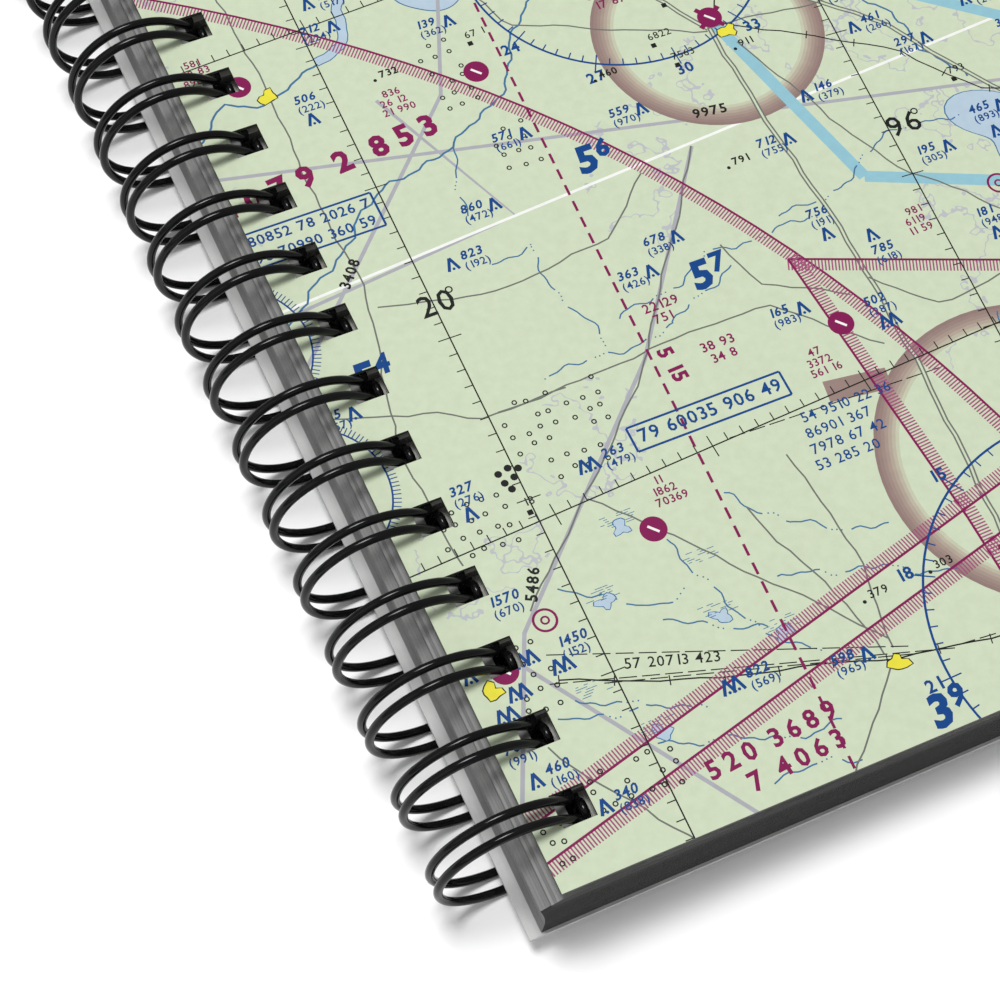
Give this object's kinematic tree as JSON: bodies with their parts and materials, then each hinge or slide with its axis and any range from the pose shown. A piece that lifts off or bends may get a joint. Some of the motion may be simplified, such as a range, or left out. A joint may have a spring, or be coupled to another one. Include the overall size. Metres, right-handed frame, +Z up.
{
  "type": "pilot logbook",
  "caption": "Closed A5 wire-bound pilot logbook with a chart-printed card cover, ruled sheets and a black twin-loop wire along the spine.",
  "frame": {"origin": "centre of the bottom of the closed book, at the height of the lowest point of the wire rings", "axes": "+X from the spine to the fore-edge, +Y from the foot to the head, +Z up out of the front cover"},
  "size_m": [0.1584, 0.2102, 0.0166],
  "materials": {
    "printed_card": "smooth printed card with a satin film, pale green chart print",
    "back_card": "uncoated grey card",
    "paper": "uncoated writing paper with grey cut edges",
    "black_wire": "gloss black nylon-coated steel wire"
  },
  "bodies": {
    "back": {"back_cover": "back_card"},
    "pack_7": {"sheets_61_62": "paper", "sheets_63_64": "paper", "sheets_65_66": "paper", "sheets_67_68": "paper", "sheets_69_70": "paper"},
    "pack_6": {"sheets_51_52": "paper", "sheets_53_54": "paper", "sheets_55_56": "paper", "sheets_57_58": "paper", "sheets_59_60": "paper"},
    "pack_5": {"sheets_41_42": "paper", "sheets_43_44": "paper", "sheets_45_46": "paper", "sheets_47_48": "paper", "sheets_49_50": "paper"},
    "pack_4": {"sheets_31_32": "paper", "sheets_33_34": "paper", "sheets_35_36": "paper", "sheets_37_38": "paper", "sheets_39_40": "paper"},
    "pack_3": {"sheets_21_22": "paper", "sheets_23_24": "paper", "sheets_25_26": "paper", "sheets_27_28": "paper", "sheets_29_30": "paper"},
    "pack_2": {"sheets_11_12": "paper", "sheets_13_14": "paper", "sheets_15_16": "paper", "sheets_17_18": "paper", "sheets_19_20": "paper"},
    "pack_1": {"sheets_01_02": "paper", "sheets_03_04": "paper", "sheets_05_06": "paper", "sheets_07_08": "paper", "sheets_09_10": "paper"},
    "wire": {"twin_loop_wire": "black_wire"},
    "front": {"front_cover": "printed_card"}
  },
  "joints": [
    {"name": "pack_7_turn", "type": "hinge", "parent": "back", "child": "pack_7", "pos_m": [-0.07084, 0, 0.00833], "axis": [0, -1, 0], "range_deg": [0, 180]},
    {"name": "pack_6_turn", "type": "hinge", "parent": "pack_7", "child": "pack_6", "pos_m": [-0.07084, 0, 0.00833], "axis": [0, -1, 0], "range_deg": [0, 180]},
    {"name": "pack_5_turn", "type": "hinge", "parent": "pack_6", "child": "pack_5", "pos_m": [-0.07084, 0, 0.00833], "axis": [0, -1, 0], "range_deg": [0, 180]},
    {"name": "pack_4_turn", "type": "hinge", "parent": "pack_5", "child": "pack_4", "pos_m": [-0.07084, 0, 0.00833], "axis": [0, -1, 0], "range_deg": [0, 180]},
    {"name": "pack_3_turn", "type": "hinge", "parent": "pack_4", "child": "pack_3", "pos_m": [-0.07084, 0, 0.00833], "axis": [0, -1, 0], "range_deg": [0, 180]},
    {"name": "pack_2_turn", "type": "hinge", "parent": "pack_3", "child": "pack_2", "pos_m": [-0.07084, 0, 0.00833], "axis": [0, -1, 0], "range_deg": [0, 180]},
    {"name": "pack_1_turn", "type": "hinge", "parent": "pack_2", "child": "pack_1", "pos_m": [-0.07084, 0, 0.00833], "axis": [0, -1, 0], "range_deg": [0, 180]},
    {"name": "wire_turn", "type": "hinge", "parent": "pack_1", "child": "wire", "pos_m": [-0.07084, 0, 0.00833], "axis": [0, -1, 0], "range_deg": [0, 180]},
    {"name": "front_cover_turn", "type": "hinge", "parent": "wire", "child": "front", "pos_m": [-0.07084, 0, 0.00833], "axis": [0, -1, 0], "range_deg": [0, 180]}
  ]
}
